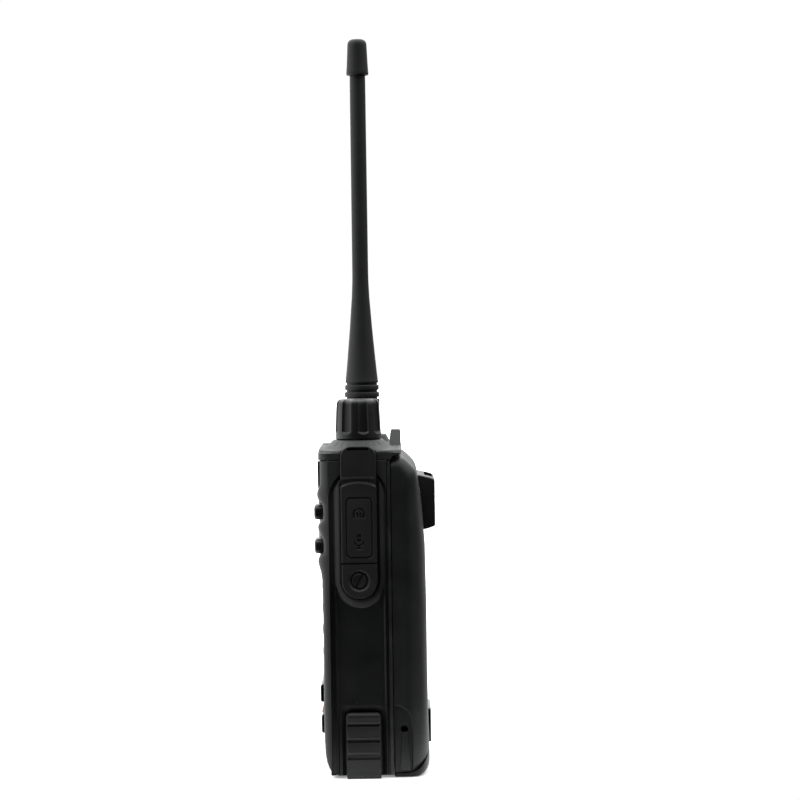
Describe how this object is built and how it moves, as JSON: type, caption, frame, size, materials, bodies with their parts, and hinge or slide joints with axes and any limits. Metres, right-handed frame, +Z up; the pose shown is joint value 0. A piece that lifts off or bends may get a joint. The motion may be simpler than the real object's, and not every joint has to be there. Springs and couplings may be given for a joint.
{
  "type": "two way radio",
  "caption": "Hand-held two way radio with whip antenna, volume knob, display, keypad, jack cover and a latched rear battery.",
  "frame": {"origin": "middle of the footprint of the whole radio, on the surface that it stands on", "axes": "+X to the holder's right, the front with the display faces -Y, the battery is at +Y, +Z up along the antenna"},
  "size_m": [0.061, 0.0408, 0.2515],
  "materials": {
    "case_plastic": "fine textured black moulding",
    "battery_plastic": "fine textured black moulding, a little smoother",
    "tray_plastic": "smooth black moulding",
    "latch_plastic": "satin black moulding",
    "bracket_plastic": "smooth black moulding",
    "knob_plastic": "satin black moulding",
    "gloss_plastic": "polished black",
    "gloss_lens": "polished black window",
    "gloss_key": "polished black",
    "clear_lens": "smoked diffuser",
    "orange_plastic": "orange, polished",
    "key_rubber": "matt black silicone",
    "cover_rubber": "matt black rubber",
    "seal_rubber": "matt black rubber",
    "antenna_rubber": "matt black rubber sleeve",
    "chassis_metal": "die cast, black coated",
    "bright_steel": "nickel plated",
    "dark_steel": "black zinc plated, worn at the slot",
    "gold_contact": "gold plated",
    "circuit_board": "green solder mask",
    "display_glass": "dark display glass",
    "cell_wrap": "blue shrink wrap"
  },
  "bodies": {
    "case": {"front_case": "case_plastic", "rear_chassis": "chassis_metal", "chassis_seal": "seal_rubber", "top_cover": "case_plastic", "display_lens": "gloss_lens", "display_module": "display_glass", "keypad_mat": "key_rubber", "main_board": "circuit_board", "speaker": "bright_steel", "speaker_grille": "gloss_plastic", "accent_strip": "orange_plastic", "microphone": "bright_steel", "volume_encoder": "bright_steel", "antenna_socket": "gold_contact", "jack_block": "gloss_plastic", "indicator_lens": "clear_lens", "terminal_block": "gloss_plastic", "side_bezel": "seal_rubber", "chassis_screw_left": "dark_steel", "chassis_screw_right": "dark_steel"},
    "battery": {"battery_cover": "battery_plastic", "battery_tray": "tray_plastic", "battery_cell_left": "cell_wrap", "battery_cell_right": "cell_wrap", "contact_strip": "gold_contact", "charge_port": "gloss_plastic", "charge_pin_left": "gold_contact", "charge_pin_right": "gold_contact", "clip_bracket": "bracket_plastic", "bracket_screw_left": "dark_steel", "bracket_screw_right": "dark_steel"},
    "latch": {"battery_latch": "latch_plastic"},
    "antenna": {"antenna_whip": "antenna_rubber", "antenna_cap": "antenna_rubber", "antenna_plug": "gold_contact"},
    "knob": {"volume_knob": "knob_plastic", "knob_shaft": "bright_steel"},
    "alarm": {"alarm_key": "key_rubber"},
    "cover": {"jack_cover": "cover_rubber"},
    "screw": {"cover_screw": "dark_steel"},
    "talk": {"talk_key": "key_rubber"},
    "side_upper": {"side_key_upper": "key_rubber"},
    "side_lower": {"side_key_lower": "key_rubber"},
    "menu_upper_left": {"menu_key_upper_left": "gloss_key"},
    "menu_upper_right": {"menu_key_upper_right": "gloss_key"},
    "menu_lower_left": {"menu_key_lower_left": "gloss_key"},
    "menu_lower_right": {"menu_key_lower_right": "gloss_key"},
    "pad_1": {"pad_key_1": "key_rubber"},
    "pad_2": {"pad_key_2": "key_rubber"},
    "pad_3": {"pad_key_3": "key_rubber"},
    "pad_4": {"pad_key_4": "key_rubber"},
    "pad_5": {"pad_key_5": "key_rubber"},
    "pad_6": {"pad_key_6": "key_rubber"},
    "pad_7": {"pad_key_7": "key_rubber"},
    "pad_8": {"pad_key_8": "key_rubber"},
    "pad_9": {"pad_key_9": "key_rubber"},
    "pad_star": {"pad_key_star": "key_rubber"},
    "pad_0": {"pad_key_0": "key_rubber"},
    "pad_hash": {"pad_key_hash": "key_rubber"}
  },
  "joints": [
    {"name": "volume_turn", "type": "hinge", "parent": "case", "child": "knob", "pos_m": [0.016, -0.0054, 0.12], "axis": [0, 0, -1], "range_deg": [0, 280]},
    {"name": "antenna_unscrew", "type": "hinge", "parent": "case", "child": "antenna", "pos_m": [-0.016, -0.0045, 0.11], "axis": [0, 0, 1], "range_deg": [0, 350]},
    {"name": "battery_release", "type": "slide", "parent": "case", "child": "battery", "axis": [0, 1, 0], "range_m": [0, 0.04]},
    {"name": "latch_lift", "type": "slide", "parent": "case", "child": "latch", "axis": [0, 0, 1], "range_m": [0, 0.0023], "stiffness_N_per_m": 2500, "springref_m": -0.0032},
    {"name": "cover_swing", "type": "hinge", "parent": "case", "child": "cover", "pos_m": [0.0274, -0.00535, 0.1106], "axis": [0, -1, 0], "range_deg": [0, 95]},
    {"name": "screw_turn", "type": "hinge", "parent": "cover", "child": "screw", "pos_m": [0.0297, -0.0055, 0.0662], "axis": [1, 0, 0], "continuous": true},
    {"name": "talk_press", "type": "slide", "parent": "case", "child": "talk", "axis": [1, 0, 0], "range_m": [0, 0.001], "stiffness_N_per_m": 1500, "springref_m": -0.001},
    {"name": "side_upper_press", "type": "slide", "parent": "case", "child": "side_upper", "axis": [1, 0, 0], "range_m": [0, 0.0006], "stiffness_N_per_m": 2500, "springref_m": -0.0004},
    {"name": "side_lower_press", "type": "slide", "parent": "case", "child": "side_lower", "axis": [1, 0, 0], "range_m": [0, 0.0006], "stiffness_N_per_m": 2500, "springref_m": -0.0004},
    {"name": "alarm_press", "type": "slide", "parent": "case", "child": "alarm", "axis": [0, 0, -1], "range_m": [0, 0.0009], "stiffness_N_per_m": 1800, "springref_m": -0.0008},
    {"name": "menu_upper_left_press", "type": "slide", "parent": "case", "child": "menu_upper_left", "axis": [0, 1, 0], "range_m": [0, 0.0005], "stiffness_N_per_m": 2500, "springref_m": -0.0004},
    {"name": "menu_upper_right_press", "type": "slide", "parent": "case", "child": "menu_upper_right", "axis": [0, 1, 0], "range_m": [0, 0.0005], "stiffness_N_per_m": 2500, "springref_m": -0.0004},
    {"name": "menu_lower_left_press", "type": "slide", "parent": "case", "child": "menu_lower_left", "axis": [0, 1, 0], "range_m": [0, 0.0005], "stiffness_N_per_m": 2500, "springref_m": -0.0004},
    {"name": "menu_lower_right_press", "type": "slide", "parent": "case", "child": "menu_lower_right", "axis": [0, 1, 0], "range_m": [0, 0.0005], "stiffness_N_per_m": 2500, "springref_m": -0.0004},
    {"name": "pad_1_press", "type": "slide", "parent": "case", "child": "pad_1", "axis": [0, 1, 0], "range_m": [0, 0.0004], "stiffness_N_per_m": 2500, "springref_m": -0.0004},
    {"name": "pad_2_press", "type": "slide", "parent": "case", "child": "pad_2", "axis": [0, 1, 0], "range_m": [0, 0.0004], "stiffness_N_per_m": 2500, "springref_m": -0.0004},
    {"name": "pad_3_press", "type": "slide", "parent": "case", "child": "pad_3", "axis": [0, 1, 0], "range_m": [0, 0.0004], "stiffness_N_per_m": 2500, "springref_m": -0.0004},
    {"name": "pad_4_press", "type": "slide", "parent": "case", "child": "pad_4", "axis": [0, 1, 0], "range_m": [0, 0.0004], "stiffness_N_per_m": 2500, "springref_m": -0.0004},
    {"name": "pad_5_press", "type": "slide", "parent": "case", "child": "pad_5", "axis": [0, 1, 0], "range_m": [0, 0.0004], "stiffness_N_per_m": 2500, "springref_m": -0.0004},
    {"name": "pad_6_press", "type": "slide", "parent": "case", "child": "pad_6", "axis": [0, 1, 0], "range_m": [0, 0.0004], "stiffness_N_per_m": 2500, "springref_m": -0.0004},
    {"name": "pad_7_press", "type": "slide", "parent": "case", "child": "pad_7", "axis": [0, 1, 0], "range_m": [0, 0.0004], "stiffness_N_per_m": 2500, "springref_m": -0.0004},
    {"name": "pad_8_press", "type": "slide", "parent": "case", "child": "pad_8", "axis": [0, 1, 0], "range_m": [0, 0.0004], "stiffness_N_per_m": 2500, "springref_m": -0.0004},
    {"name": "pad_9_press", "type": "slide", "parent": "case", "child": "pad_9", "axis": [0, 1, 0], "range_m": [0, 0.0004], "stiffness_N_per_m": 2500, "springref_m": -0.0004},
    {"name": "pad_star_press", "type": "slide", "parent": "case", "child": "pad_star", "axis": [0, 1, 0], "range_m": [0, 0.0004], "stiffness_N_per_m": 2500, "springref_m": -0.0004},
    {"name": "pad_0_press", "type": "slide", "parent": "case", "child": "pad_0", "axis": [0, 1, 0], "range_m": [0, 0.0004], "stiffness_N_per_m": 2500, "springref_m": -0.0004},
    {"name": "pad_hash_press", "type": "slide", "parent": "case", "child": "pad_hash", "axis": [0, 1, 0], "range_m": [0, 0.0004], "stiffness_N_per_m": 2500, "springref_m": -0.0004}
  ]
}
